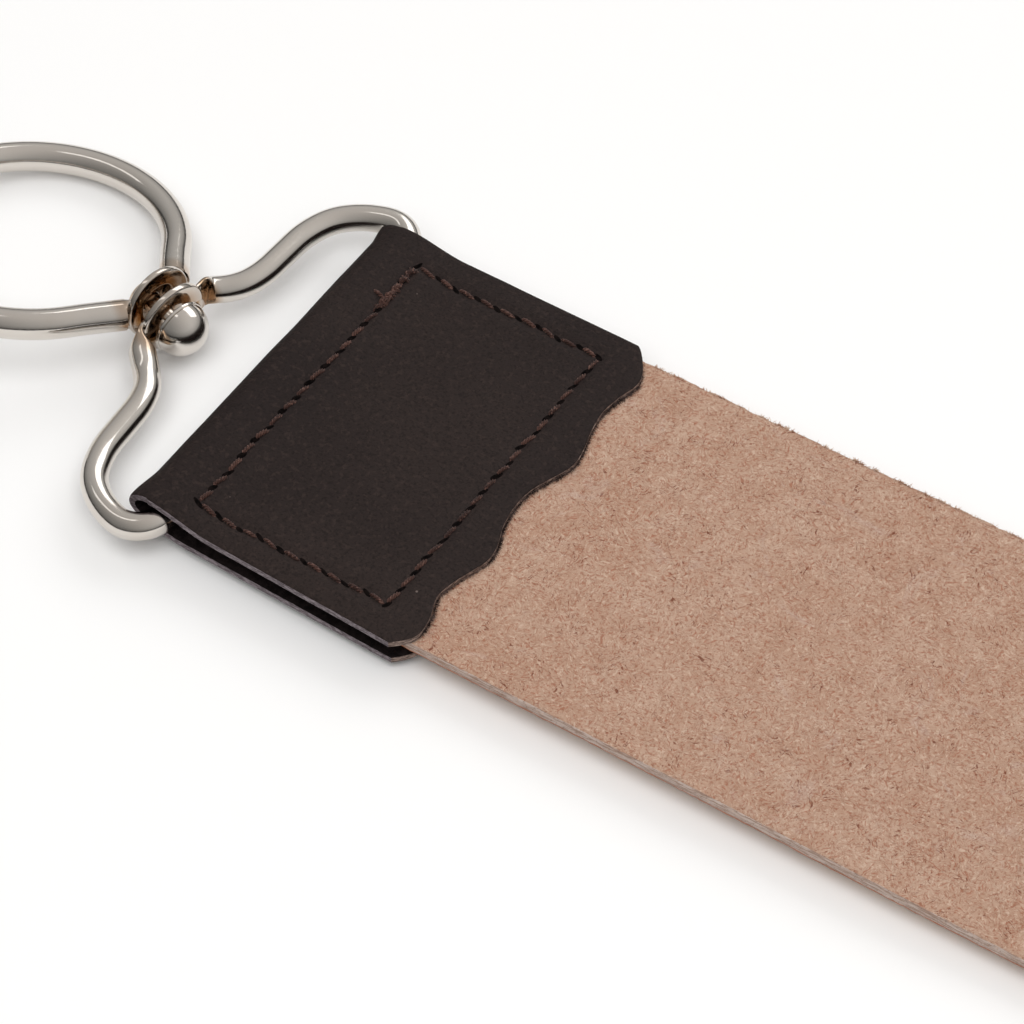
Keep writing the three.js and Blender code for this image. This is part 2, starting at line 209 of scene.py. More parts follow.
def run_along(line, power=1.0):
    """How far along a line each of its points is, with each step taken to the power."""
    steps = np.linalg.norm(np.diff(line, axis=0), axis=1)
    return np.r_[0, np.cumsum(steps ** power)]


def circle(count):
    return np.linspace(0, 2 * math.pi, count + 1)[:-1]


def unit(vectors):
    return vectors / np.linalg.norm(vectors, axis=-1, keepdims=True)


def between(t, k0, k1, p0, p1):
    return ((k1 - t) * p0 + (t - k0) * p1) / (k1 - k0)


def smooth_path(points, spacing):
    """A centripetal Catmull-Rom curve through the points, cut into even steps."""
    p = np.asarray([tuple(q) for q in points], float)
    p = np.vstack([2 * p[0] - p[1], p, 2 * p[-1] - p[-2]])
    knots = run_along(p, 0.5)
    dense = []
    for i in range(1, len(p) - 2):
        k0, k1, k2, k3 = knots[i - 1:i + 3]
        t = np.linspace(k1, k2, STEPS_BETWEEN_KNOTS, endpoint=False)[:, None]
        a1 = between(t, k0, k1, p[i - 1], p[i])
        a2 = between(t, k1, k2, p[i], p[i + 1])
        a3 = between(t, k2, k3, p[i + 1], p[i + 2])
        dense.append(between(t, k1, k2, between(t, k0, k2, a1, a2), between(t, k1, k3, a2, a3)))
    return resample(np.vstack(dense + [p[-2][None]]), spacing)


def resample(line, spacing):
    run = run_along(line)
    at = np.linspace(0, run[-1], max(2, int(round(run[-1] / spacing)) + 1))
    return np.column_stack([np.interp(at, run, line[:, k]) for k in range(3)])


def relax(line, rounds):
    """Evens out the bends of a line, and leaves its ends in place."""
    line = line.copy()
    for _ in range(rounds):
        line[1:-1] = 0.25 * line[:-2] + 0.5 * line[1:-1] + 0.25 * line[2:]
    return line


def tube_faces(count, around, closed=False):
    """Quads between neighbouring rings of points. A closed tube joins its last ring to its first."""
    faces = []
    for i in range(count if closed else count - 1):
        n = (i + 1) % count
        for j in range(around):
            k = (j + 1) % around
            faces.append((i * around + j, i * around + k, n * around + k, n * around + j))
    return faces


def loft(rings):
    """Points and faces of a closed tube through equal rings, with both ends capped."""
    count, around = len(rings), len(rings[0])
    faces = tube_faces(count, around)
    faces.append(tuple(range(around))[::-1])
    faces.append(tuple((count - 1) * around + j for j in range(around)))
    return np.concatenate(rings), faces


def together(parts):
    """Several (points, faces) shells as one."""
    points, faces, base = [], [], 0
    for p, f in parts:
        points.append(np.asarray(p, float))
        faces += [tuple(base + i for i in face) for face in f]
        base += len(p)
    return np.concatenate(points), faces


# -------- materials
def linear(red, green, blue):
    """An 8-bit screen colour as the linear colour that a shader takes."""
    def one(c):
        c /= 255
        return c / 12.92 if c <= 0.04045 else ((c + 0.055) / 1.055) ** 2.4
    return (one(red), one(green), one(blue), 1.0)


class Nodes:
    """A node tree, with one line for each node."""

    def __init__(self, tree):
        self.tree = tree

    def node(self, kind, settings=None, **inputs):
        """A new node. An input goes by its name, or by its number as i0, i1 and so on."""
        made = self.tree.nodes.new("ShaderNode" + kind)
        for key, value in (settings or {}).items():
            setattr(made, key, value)
        for key, value in inputs.items():
            by_number = key[-1].isdigit()
            self.put(made, int(key[1:]) if by_number else key.replace("_", " "), value)
        return made

    def put(self, node, key, value):
        socket = node.inputs[key]
        if isinstance(value, bpy.types.NodeSocket):
            self.tree.links.new(value, socket)
        else:
            socket.default_value = value

    def math(self, operation, a, b=0.0, c=0.0):
        made = self.node("Math", {"operation": operation}, i0=a, i1=b, i2=c)
        return made.outputs[0]

    def vector(self, operation, a, b=(0, 0, 0), **more):
        made = self.node("VectorMath", {"operation": operation}, i0=a, i1=b, **more)
        return made.outputs[0]

    def mix(self, share, a, b):
        made = self.node("Mix", {"data_type": "RGBA"}, i0=share, i6=a, i7=b)
        return made.outputs[2]

    def band(self, value, low, high, to_low=0.0, to_high=1.0):
        made = self.node("MapRange", {"interpolation_type": "SMOOTHSTEP"}, Value=value,
                         From_Min=low, From_Max=high, To_Min=to_low, To_Max=to_high)
        return made.outputs[0]


class Shader(Nodes):
    """The nodes of a material."""

    def __init__(self, name):
        self.material = bpy.data.materials.new(name)
        self.material.use_nodes = True
        super().__init__(self.material.node_tree)
        self.surface = self.tree.nodes["Principled BSDF"]
        self.where = self.node("TexCoord").outputs["Object"]

    def set(self, **inputs):
        for key, value in inputs.items():
            self.put(self.surface, key.replace("_", " "), value)

    def stretched_noise(self, scales, detail, roughness):
        return self.noise(1.0, detail, roughness, where=self.vector("MULTIPLY", self.where, scales))

    def noise(self, scale, detail=3.0, roughness=0.5, distortion=0.0, where=None):
        made = self.node("TexNoise", Vector=where or self.where, Scale=scale,
                         Detail=detail, Roughness=roughness, Distortion=distortion)
        return made.outputs["Fac"]

    def cell_walls(self, scale):
        """Distance to the walls between cells, as between the pores of leather."""
        made = self.node("TexVoronoi", {"feature": "DISTANCE_TO_EDGE"}, Vector=self.where,
                         Scale=scale)
        return made.outputs["Distance"]

    def weigh(self, a, weight_a, b, weight_b):
        return self.math("MULTIPLY_ADD", a, weight_a, self.math("MULTIPLY", b, weight_b))

    def tint(self, colour, over, where, low, high, share=1.0):
        """A colour with another over it, from none where a value is low to a share where it is high."""
        return self.mix(self.band(where, low, high, 0.0, share), colour, over)

    def attribute(self, name):
        return self.node("Attribute", {"attribute_name": name}).outputs["Fac"]

    def bump(self, height, strength, distance):
        made = self.node("Bump", Height=height, Strength=strength, Distance=distance)
        return made.outputs[0]

    def fibre_streaks(self, cell, length, width, shift):
        """Noise in short streaks. Each cell of leather has its streaks in a direction of its own."""
        warp = self.node("TexNoise", Vector=self.where, Scale=0.6 / cell, Detail=2.0)
        swing = self.vector("SUBTRACT", warp.outputs["Color"], (0.5, 0.5, 0.5))
        swing = self.vector("SCALE", swing, Scale=1.4 * cell)
        place = self.vector("ADD", self.vector("ADD", self.where, swing), (shift, shift * 0.7, 0))
        cells = self.node("TexVoronoi", Vector=place, Scale=1 / cell)
        from_centre = self.vector("SUBTRACT", place, cells.outputs["Position"])
        chance = self.node("SeparateColor", Color=cells.outputs["Color"]).outputs[0]
        turned = self.node("VectorRotate", {"rotation_type": "Z_AXIS"}, Vector=from_centre,
                           Angle=self.math("MULTIPLY", chance, 2 * math.pi)).outputs[0]
        long = self.vector("MULTIPLY", turned, (1 / length, 1 / width, 1 / width))
        apart = self.vector("MULTIPLY_ADD", cells.outputs["Color"], (40, 40, 40), i2=long)
        return self.noise(1.0, detail=2.0, roughness=0.55, distortion=0.5, where=apart)


def rough_out():
    """The flesh side of natural leather: pinkish tan nap with short fibres lying every way."""
    s = Shader("rough_out_leather")
    tone = s.weigh(s.noise(30, detail=2), 0.3, s.noise(210, detail=4, roughness=0.6), 0.7)
    pale = s.noise(110, detail=4, roughness=0.65, distortion=1.2)
    grains = s.noise(2100, detail=4, roughness=0.7)
    light_fibres = s.fibre_streaks(0.0018, 0.0012, 0.00028, 0.0)
    dark_fibres = s.fibre_streaks(0.0015, 0.0010, 0.00024, 0.37)
    loose_fibres = s.fibre_streaks(0.0020, 0.0017, 0.00028, 0.81)
    flecks = s.math("MULTIPLY", s.band(loose_fibres, 0.60, 0.66),
                    s.band(s.noise(330, detail=2), 0.46, 0.60, 0.0, 0.90))
    colour = s.tint(linear(189, 158, 138), linear(180, 146, 125), tone, 0.40, 0.62)
    colour = s.tint(colour, linear(212, 187, 167), light_fibres, 0.52, 0.66, 0.60)
    colour = s.tint(colour, linear(156, 97, 73), dark_fibres, 0.52, 0.66, 0.72)
    colour = s.mix(flecks, colour, linear(112, 58, 40))
    colour = s.tint(colour, linear(196, 175, 165), pale, 0.57, 0.70, 0.28)
    colour = s.tint(colour, linear(148, 99, 76), grains, 0.50, 0.66, 0.72)
    height = s.math("MULTIPLY_ADD", light_fibres, 0.7, s.weigh(dark_fibres, -0.5, grains, 0.45))
    s.set(Base_Color=colour, Roughness=0.95, Normal=s.bump(height, 0.95, 0.00026),
          Specular_IOR_Level=0.10, Sheen_Weight=0.15, Sheen_Roughness=0.6,
          Sheen_Tint=linear(232, 208, 190))
    return s.material


def grain_side():
    """The smooth grain side of natural leather, on the underside of the band."""
    s = Shader("natural_grain_leather")
    broad = s.noise(30, detail=3)
    fine = s.noise(900, detail=4)
    colour = s.tint(linear(206, 170, 136), linear(190, 150, 116), broad, 0.35, 0.65)
    colour = s.tint(colour, linear(160, 116, 84), fine, 0.55, 0.75, 0.3)
    height = s.weigh(s.band(s.cell_walls(1400), 0.0, 0.12), 0.6, fine, 0.5)
    s.set(Base_Color=colour, Roughness=s.band(broad, 0.3, 0.7, 0.42, 0.55),
          Normal=s.bump(height, 0.35, 0.00008), Specular_IOR_Level=0.4)
    return s.material


def band_cut_edge():
    """The cut edge of the band: pale grey-beige fibres over a thin orange-brown grain line."""
    s = Shader("band_cut_edge")
    layers = s.stretched_noise((420, 420, 5200), 4, 0.6)
    fine = s.noise(2600, detail=3)
    fibres = s.tint(linear(199, 182, 172), linear(158, 132, 118), layers, 0.40, 0.62)
    fibres = s.tint(fibres, linear(122, 92, 78), fine, 0.55, 0.7, 0.5)
    above_grain = s.math("MULTIPLY_ADD", layers, 0.14, s.attribute("depth"))
    colour = s.tint(linear(170, 104, 72), fibres, above_grain, 0.26, 0.36)
    s.set(Base_Color=colour, Roughness=0.9, Normal=s.bump(s.weigh(layers, 1.0, fine, 0.6), 0.8, 0.00012),
          Specular_IOR_Level=0.2)
    return s.material


def dark_leather():
    """Smooth matt dark-brown leather with faint grain and a little dust."""
    s = Shader("dark_leather_grain")
    broad = s.noise(26, detail=2)
    fine = s.noise(1100, detail=4, roughness=0.6)
    pores = s.noise(2400, detail=3, roughness=0.6)
    specks = s.node("TexVoronoi", Vector=s.where, Scale=330.0)
    chance = s.node("SeparateColor", Color=specks.outputs["Color"]).outputs[0]
    dust = s.math("MULTIPLY", s.band(specks.outputs["Distance"], 0.075, 0.035),
                  s.band(chance, 0.86, 0.88, 0.0, 0.55))
    colour = s.tint(linear(38, 31, 30), linear(45, 37, 35), broad, 0.35, 0.65)
    colour = s.tint(colour, linear(58, 48, 45), fine, 0.50, 0.66, 0.55)
    colour = s.tint(colour, linear(26, 21, 20), pores, 0.50, 0.64, 0.60)
    colour = s.mix(dust, colour, linear(132, 118, 112))
    height = s.weigh(s.band(s.cell_walls(900), 0.0, 0.10), 0.5, fine, 0.6)
    s.set(Base_Color=colour, Roughness=s.band(fine, 0.3, 0.7, 0.56, 0.68),
          Normal=s.bump(height, 0.45, 0.00009), Specular_IOR_Level=0.10)
    return s.material


def dark_cut_edge(name, light, dark):
    """A cut through the dark leather: short grey-brown fibres."""
    s = Shader(name)
    layers = s.stretched_noise((900, 900, 4200), 4, 0.65)
    fine = s.noise(3000, detail=3)
    colour = s.tint(light, dark, layers, 0.36, 0.64)
    colour = s.tint(colour, linear(24, 19, 18), fine, 0.58, 0.72, 0.6)
    s.set(Base_Color=colour, Roughness=0.92, Normal=s.bump(s.math("ADD", layers, fine), 0.9, 0.00014),
          Specular_IOR_Level=0.15)
    return s.material


def sewing_thread():
    """Twisted red-brown thread with a soft shine, and lighter flecks that are painted highlights on its
    fibres.
    """
    s = Shader("sewing_thread")
    hairs = s.noise(5200, detail=3, roughness=0.6)
    colour = s.tint(linear(52, 34, 30), linear(78, 53, 46), s.noise(160, detail=2), 0.35, 0.65)
    colour = s.tint(colour, linear(38, 22, 18), hairs, 0.5, 0.7, 0.5)
    # painted highlights: lighter flecks where light would catch the thread's fibres
    colour = s.tint(colour, linear(124, 92, 82), s.noise(2600, detail=2), 0.54, 0.66, 0.6)
    s.set(Base_Color=colour, Roughness=0.45, Normal=s.bump(hairs, 0.5, 0.00006),
          Specular_IOR_Level=0.25, Sheen_Weight=0.1, Sheen_Roughness=0.4)
    return s.material


def nickel_plate():
    """Polished nickel, painted browner where its attribute says so, as a painted reflection of the brown
    leather.
    """
    s = Shader("nickel_plate")
    broad = s.noise(90, detail=3)
    fine = s.stretched_noise((900, 2400, 2400), 3, 0.6)
    # painted reflection: brown mixed in where the attribute is high, for the brown leather seen in the metal
    painted_brown = s.math("MULTIPLY", s.attribute("painted_reflection"), s.band(broad, 0.30, 0.55, 0.55, 1.0))
    colour = s.mix(painted_brown, linear(216, 210, 203), linear(168, 130, 88))
    colour = s.tint(colour, linear(196, 182, 166), broad, 0.5, 0.75, 0.18)
    s.set(Base_Color=colour, Metallic=1.0, Roughness=s.band(fine, 0.35, 0.75, 0.10, 0.17),
          Normal=s.bump(s.weigh(broad, 2.0, fine, 0.10), 0.10, 0.0003))
    return s.material


def plain(name, light, dark, scale, detail, roughness, specular):
    """Two close shades, for what is too small to show more."""
    s = Shader(name)
    s.set(Base_Color=s.tint(light, dark, s.noise(scale, detail), 0.4, 0.6), Roughness=roughness,
          Specular_IOR_Level=specular)
    return s.material


ROUGH_OUT = rough_out()
GRAIN_SIDE = grain_side()
BAND_CUT = band_cut_edge()
DARK = dark_leather()
DARK_CUT = dark_cut_edge("dark_leather_cut_edge", linear(160, 140, 130), linear(78, 64, 59))
DARK_SIDE = dark_cut_edge("dark_leather_cut_side", linear(146, 136, 140), linear(86, 77, 80))
# the flesh side's own dark colour, deepened to near-black with painted shade of the gap between the flaps
DARK_FLESH_AND_GAP_SHADE = dark_cut_edge("dark_leather_flesh_side_and_gap_shade", linear(34, 28, 28), linear(18, 14, 14))
THREAD = sewing_thread()
NICKEL = nickel_plate()
TAN_FIBRE = plain("tan_fibre", linear(214, 186, 164), linear(172, 128, 104), 700, 2.0, 0.9, 0.2)
DARK_FIBRE = plain("dark_fibre", linear(88, 74, 70), linear(44, 35, 33), 700, 2.0, 0.9, 0.2)
# near-black painted shade for the insides of the needle holes
HOLE_SHADE = plain("needle_hole_shade", linear(8, 6, 6), linear(20, 15, 14), 1800, 3.0, 0.95, 0.05)


# -------- the leather's run
GRIP_RISE = (40, 2)  # where before the grip the band starts and ends its rise


def lift(x):
    """Height of the tab's plain underside off the table."""
    return LIFT + (TAB_END_LIFT - LIFT) * np.asarray(x, float) / TAB_LENGTH


def band_underside(x):
    x = np.asarray(x, float)
    near = (TAB_END_LIFT + LAYER) * (1 - smoothstep(x, TAB_LENGTH, LIFT_SPAN))
    far = LAYER * smoothstep(x, GRIP_START - GRIP_RISE[0], GRIP_START - GRIP_RISE[1])
    return np.where(x < TAB_LENGTH, lift(x) + LAYER, near + far)


def wave(y):
    """How far the wavy cut edge of a cover stands beyond its plain length."""
    outs = smooth_path([(y0, out, 0) for out, y0 in WAVE], 0.2)
    return np.interp(y, outs[:, 0], outs[:, 1])


# -------- band
BAND_STEP = 0.8
BAND_ACROSS = 84  # points across the suede
CORNER_STEPS = 18
EDGE_STEPS = 8  # points up a cut edge
ROUNDING = 0.3
EDGE_WANDER = 0.15  # how far the cut strays from straight
EDGE_RAG = 0.20  # how ragged the far cut is
NAP = 0.05  # unevenness of the suede: fine, then broad
SWELL = 0.10
WEAR = 0.14  # how much the suede falls towards its edges, and over what width
WEAR_WIDTH = 0.9
FUZZ = 0.09  # roughness of the cut faces


def make_band():
    corner_start = BAND_END - BAND_CORNER
    xs = np.r_[np.arange(BAND_START, corner_start, BAND_STEP),
               corner_start + BAND_CORNER * np.sin(np.linspace(0, math.pi / 2, CORNER_STEPS))]
    across = np.linspace(0, 1, BAND_ACROSS)
    under = np.linspace(0, 1, BAND_ACROSS // 3)
    edge = np.linspace(0, 1, EDGE_STEPS + 2)[1:-1]
    rounding = np.maximum(0, 1 - edge / 0.2) ** 2 + 0.5 * np.maximum(0, edge / 0.2 - 4) ** 2
    rings, depths = [], []
    for x in xs:
        near_stray = EDGE_WANDER * patches(x / 23, 3.0, 11)
        far_stray = EDGE_WANDER * patches(x / 19, 7.0, 12) + EDGE_RAG * rough(x, 5.0, 13)
        tucked = BAND_INSET * (1 - float(smoothstep(x, TAB_LENGTH - 5, TAB_LENGTH - 1)))
        tucked += BAND_CORNER - math.sqrt(max(0, BAND_CORNER ** 2 - max(0, x - corner_start) ** 2))
        evened = (BAND_FAR - BAND_NEAR) / 2 * float(smoothstep(x, GRIP_START, GRIP_START + 20))
        low = -BAND_NEAR + near_stray + tucked
        high = BAND_FAR + far_stray - tucked - evened
        y_top = low + ROUNDING * 0.4 + across * (high - low - ROUNDING * 0.8)
        y_low = low + ROUNDING + under * (high - low - ROUNDING * 2)
        y_near = low + ROUNDING * rounding - FUZZ * rough(x / 0.5, edge * 5, 24)
        y_far = high - ROUNDING * rounding + FUZZ * rough(x / 0.5, edge * 5, 23)
        worn = WEAR * np.exp(-((BAND_FAR - np.abs(y_top)) / WEAR_WIDTH))
        unevenness = NAP * rough(x / 0.9, y_top / 0.9, 21) + SWELL * patches(x / 13, y_top / 13, 22)
        z_top = BAND - 0.03 + unevenness - worn
        ys = np.concatenate([y_low, y_far, y_top[::-1], y_near[::-1]])
        zs = np.concatenate([np.zeros_like(y_low), edge * BAND, z_top[::-1], edge[::-1] * BAND])
        rings.append(np.column_stack([np.full_like(ys, x), ys, zs + band_underside(x)]))
        depths.append(np.concatenate([np.zeros_like(y_low), edge, np.ones_like(y_top), edge[::-1]]))
    points, faces = loft(rings)
    suede, grain, cut = range(3)
    columns = np.full(len(rings[0]), cut)
    columns[:len(under) - 1] = grain
    first_top = len(under) + EDGE_STEPS
    columns[first_top:first_top + BAND_ACROSS - 1] = suede
    face_materials = np.concatenate([np.tile(columns, len(xs) - 1), [cut, cut]])
    piece = make_piece("band_leather", points, faces, [ROUGH_OUT, GRAIN_SIDE, BAND_CUT], face_materials,
                       crease=60, attributes={"depth": np.concatenate(depths)})
    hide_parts("strop_band")
    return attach(piece, "strop")


# -------- sheets of cover leather
WALL_STEPS = 5  # rows of faces up a cut edge
WALL_RAG = 0.10
RIM_TUCK = 0.12  # how far the outer face's rim is drawn down its wall
COVER_MATERIALS = [DARK, DARK_FLESH_AND_GAP_SHADE, DARK_CUT, DARK_SIDE]


def sheet_solid(outer, inner, seed):
    """A closed solid between two equal grids of points, with rough cut walls between them.
    Returns points, faces and each face's place in COVER_MATERIALS."""
    rows, columns = outer.shape[:2]
    index = np.arange(rows * columns).reshape(rows, columns)
    rim = np.concatenate([index[0, :-1], index[:-1, -1], index[-1, :0:-1], index[:0:-1, 0]])
    flat_out, flat_in = outer.reshape(-1, 3).copy(), inner.reshape(-1, 3)
    middle = flat_out.mean(0)
    shares = np.linspace(0, 1, WALL_STEPS + 1)[1:-1]
    out_rim, in_rim = flat_out[rim], flat_in[rim]
    run = np.arange(len(rim))
    walls = []
    for k, share in enumerate(shares):
        wall = out_rim * (1 - share) + in_rim * share
        push = WALL_RAG * rough(run / 1.3, 9.0 * share, seed + k)
        away = wall - middle
        away[:, 2] = 0
        walls.append(wall + unit(away) * push[:, None])
    flat_out[rim] = out_rim + (in_rim - out_rim) * RIM_TUCK
    points = np.concatenate([flat_out, flat_in] + walls)
    quads = np.stack([index[:-1, :-1], index[1:, :-1], index[1:, 1:], index[:-1, 1:]], -1).reshape(-1, 4)
    faces = quads.tolist() + (quads[:, ::-1] + rows * columns).tolist()
    outside, inside, cut_end, cut_side = range(4)
    kinds = [outside] * len(quads) + [inside] * len(quads)
    ends = np.full(len(rim), cut_side)
    ends[:columns - 1] = cut_end
    ends[columns + rows - 2:2 * columns + rows - 3] = cut_end
    bands = [rim] + [2 * rows * columns + k * len(rim) + run for k in range(len(shares))]
    bands.append(rim + rows * columns)
    for upper, lower in zip(bands[:-1], bands[1:]):
        strip = np.stack([upper, np.roll(upper, -1), np.roll(lower, -1), lower], -1)
        faces += strip.tolist()
        kinds += ends.tolist()
    return points, faces, kinds


SINK = 0.26  # how far sewing pulls the leather in, and how far from the seam
SINK_WIDTH = 0.8
BULGE = 0.07  # the swelling beside a seam: its height, distance and width
BULGE_AWAY = 2.2
BULGE_WIDTH = 1.4


def seam_sink(x, y, corners):
    """How far the leather is pulled in near a rectangular seam, and swells beside it."""
    x0, x1, half = corners
    dx = np.maximum(x0 - x, x - x1)
    dy = np.abs(y) - half
    outside = np.hypot(np.maximum(dx, 0), np.maximum(dy, 0))
    away = np.where((dx > 0) | (dy > 0), outside, -np.maximum(dx, dy))
    return (BULGE * np.exp(-((away - BULGE_AWAY) / BULGE_WIDTH) ** 2)
            - SINK * np.exp(-(away / SINK_WIDTH) ** 2))


TAB_COLUMNS = 150
TOP_ROWS = 104
FOLD_ROWS = 26
LOW_ROWS = 80
TAB_SEAM = (SEAM_INSET, TAB_LENGTH - SEAM_END_INSET, SEAM_HALF)
TOP_OUTLINE = (30.4, 1.4, 31.6, 1.3)  # near half-width at the fold and how much it grows from
LOW_OUTLINE = (30.2, 1.1, 31.0, 0.9)  # there, far half-width and how much the fold takes off it
TOP_DROOP = 0.08  # of the cut end
LOW_SAG = 0.7  # of the lower flap's near edge
FLARE = (0.05, 0.65, 0.6)  # how far the fold bulges: in the middle, and added near and far


def top_face(x):
    """Height of the tab's upper face, which falls from the fold to the plain stack."""
    swell = (BAR.z + FOLD_RADIUS) - (lift(FOLD_RADIUS) + STACK)
    return lift(x) + STACK + swell * (1 - smoothstep(x, FOLD_RADIUS, FOLD_SPREAD))


def low_face(x):
    drop = lift(FOLD_RADIUS) - (BAR.z - FOLD_RADIUS)
    return lift(x) - drop * (1 - smoothstep(x, FOLD_RADIUS, FOLD_SPREAD - 3))


def tab_hand(x, y):
    """The slow and fine unevenness of the covers' faces."""
    return 0.07 * patches(x / 9, y / 9, 31) + 0.02 * patches(x / 2.3, y / 2.3, 32)


def tab_skins():
    """The outer and inner faces of the folded tab, from its top edge over the fold and back."""
    v = np.linspace(0, 1, TAB_COLUMNS)
    y_plain = -TAB_HALF + 2 * TAB_HALF * v
    end = TAB_LENGTH + wave(y_plain)
    rows_outer, rows_inner = [], []

    def row(x, y, z, nx, nz):
        hand = tab_hand(x, y)
        outer = np.column_stack([x + nx * hand, y, z + nz * hand])
        rows_outer.append(outer)
        rows_inner.append(outer - COVER * np.column_stack([nx, np.zeros_like(nx), nz]))

    def flat_row(x, face, side, outline, hang):
        near, near_growth, far, far_loss = outline
        y_near = -near - near_growth * np.clip(x / TAB_LENGTH, 0, 1)
        y_far = far - far_loss * np.exp(-x / 2.5)
        y = y_near + (y_far - y_near) * v
        slope = (face(x + 0.1) - face(x - 0.1)) / 0.2
        length = np.hypot(1, slope)
        z = face(x) + side * seam_sink(x, y, TAB_SEAM) - hang
        row(x, y, z, -side * slope / length, side / length)

    for t in np.linspace(0, 1, TOP_ROWS):
        x = end + (FOLD_RADIUS - end) * t
        flat_row(x, top_face, 1, TOP_OUTLINE, TOP_DROOP * np.exp(-((end - x) / 2.0)))
    middle, near_more, far_more = FLARE
    flare = middle + near_more * (1 - smoothstep(y_plain, -30, -25)) + far_more * smoothstep(y_plain, 27, 31)
    for a in np.radians(np.linspace(90, 270, FOLD_ROWS)[1:-1]):
        y_near = -30.3 + 0.5 * (1 - math.sin(a)) / 2
        y_far = 31.1
        x = FOLD_RADIUS + (FOLD_RADIUS + flare) * math.cos(a)
        z = np.full_like(x, BAR.z + FOLD_RADIUS * math.sin(a))
        row(x, y_near + (y_far - y_near) * v, z, np.full_like(x, math.cos(a)), np.full_like(x, math.sin(a)))
    for t in np.linspace(0, 1, LOW_ROWS):
        x = FOLD_RADIUS + (end - FOLD_RADIUS) * t
        sag = LOW_SAG * (1 - smoothstep(y_plain, -31, -26)) * smoothstep(x, FOLD_RADIUS, 9)
        flat_row(x, low_face, -1, LOW_OUTLINE, sag)
    return np.array(rows_outer), np.array(rows_inner)


GRIP_ROWS = 190
END_PINCH = 0.18  # at a grip cover's wavy cut, and at its sides
SIDE_PINCH = 0.12
GRIP_SEAM = (GRIP_START + SEAM_END_INSET, GRIP_END - GRIP_SEAM_INSET, SEAM_HALF)


def grip_face(side):
    """The plain height of a grip cover's face, which is the same at every x."""
    return lambda x: STACK if side > 0 else 0.0


def grip_skins(side):
    v = np.linspace(0, 1, TAB_COLUMNS)
    y_plain = -TAB_HALF + 2 * TAB_HALF * v
    start = GRIP_START - wave(y_plain)
    beyond = np.maximum(0, np.abs(y_plain) - (TAB_HALF - GRIP_CORNER))
    end = GRIP_END - GRIP_CORNER + np.sqrt(np.maximum(0, GRIP_CORNER ** 2 - beyond ** 2))
    face = grip_face(side)(start)
    outer, inner = [], []
    for t in np.linspace(0, 1, GRIP_ROWS):
        x = start + (end - start) * t
        hand = tab_hand(x, y_plain)
        sink = seam_sink(x, y_plain, GRIP_SEAM)
        pinch = END_PINCH * np.exp(-(x - start) / 2.0)
        pinch += SIDE_PINCH * np.exp(-(TAB_HALF - np.abs(y_plain)) / 1.2)
        z = face + side * (sink + hand - pinch)
        outer.append(np.column_stack([x, y_plain, z]))
        inner.append(np.column_stack([x, y_plain, np.full_like(x, face - side * COVER)]))
    return np.array(outer), np.array(inner)


def make_cover(name, node, skins, seed):
    points, faces, kinds = sheet_solid(*skins, seed)
    piece = make_piece(name, points, faces, COVER_MATERIALS, kinds, crease=55)
    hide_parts(node)
    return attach(piece, "strop")


# -------- sewing
HOLE_WOBBLE = 0.24
STITCH_STEPS = 13
STITCH_RISE = 0.16  # of a stitch's middle above the leather
STITCH_DIP = 0.62  # of its ends below it
PLY_AROUND = 6
HOLE_RINGS = 5
HOLE_AROUND = 14
HOLE_DEPTH = 0.5
HOLE_LIP = 0.035  # of a hole's rim, so that it shows
HOLE_SLANT = -20  # degrees


def seam_holes(corners, draw):
    """Needle holes round a rectangular seam, evenly spaced on each side, with a hand's wobble."""
    x0, x1, half = corners
    ring = [(x0, -half), (x1, -half), (x1, half), (x0, half), (x0, -half)]
    holes = []
    for (ax, ay), (bx, by) in zip(ring[:-1], ring[1:]):
        count = max(1, round(math.hypot(bx - ax, by - ay) / PITCH))
        for i in range(count):
            wobble = 0.0 if i == 0 else 1.0
            x = ax + (bx - ax) * i / count + wobble * draw.uniform(-HOLE_WOBBLE, HOLE_WOBBLE)
            y = ay + (by - ay) * i / count + wobble * draw.uniform(-HOLE_WOBBLE, HOLE_WOBBLE)
            holes.append((x, y))
    return holes + holes[:1]


def plies(line, side, phase, swell):
    """Plies twisted round a line of points."""
    tangent = unit(np.gradient(line, axis=0))
    level = unit(np.cross(tangent, [0, 0, side]))
    upright = np.cross(level, tangent)
    angles = circle(PLY_AROUND)[:, None]
    parts = []
    for ply in range(PLIES):
        turn = phase + 2 * math.pi * (ply / PLIES + run_along(line) / TWIST_PITCH)
        offset = np.cos(turn)[:, None] * level + np.sin(turn)[:, None] * upright
        core = line + PLY_OFFSET * swell * offset
        parts.append(loft([core[k] + PLY_RADIUS * swell * (np.cos(angles) * level[k]
                                                           + np.sin(angles) * upright[k])
                           for k in range(len(line))]))
    return parts


def stitch(a, b, height, side, phase, draw, swell=1.0, rise=STITCH_RISE):
    """One stitch from hole a to hole b, over the face at the given height."""
    start, stop = np.array([*a, 0.0]), np.array([*b, 0.0])
    run = stop - start
    across = np.array([-run[1], run[0], 0]) / np.linalg.norm(run)
    lean = draw.uniform(0.14, 0.34)
    swell *= draw.uniform(0.88, 1.12)
    rise += draw.uniform(-0.05, 0.06)
    line = []
    for t in np.linspace(0, 1, STITCH_STEPS):
        point = start + run * (0.09 + 0.82 * t) + across * lean * (1 - 2 * t)
        arch = 1 - abs(2 * t - 1) ** 3.2
        point[2] = height(point[0], point[1]) + side * ((STITCH_DIP + rise) * arch - STITCH_DIP)
        line.append(point)
    return plies(np.array(line), side, phase + draw.uniform(0, 6.28), swell)


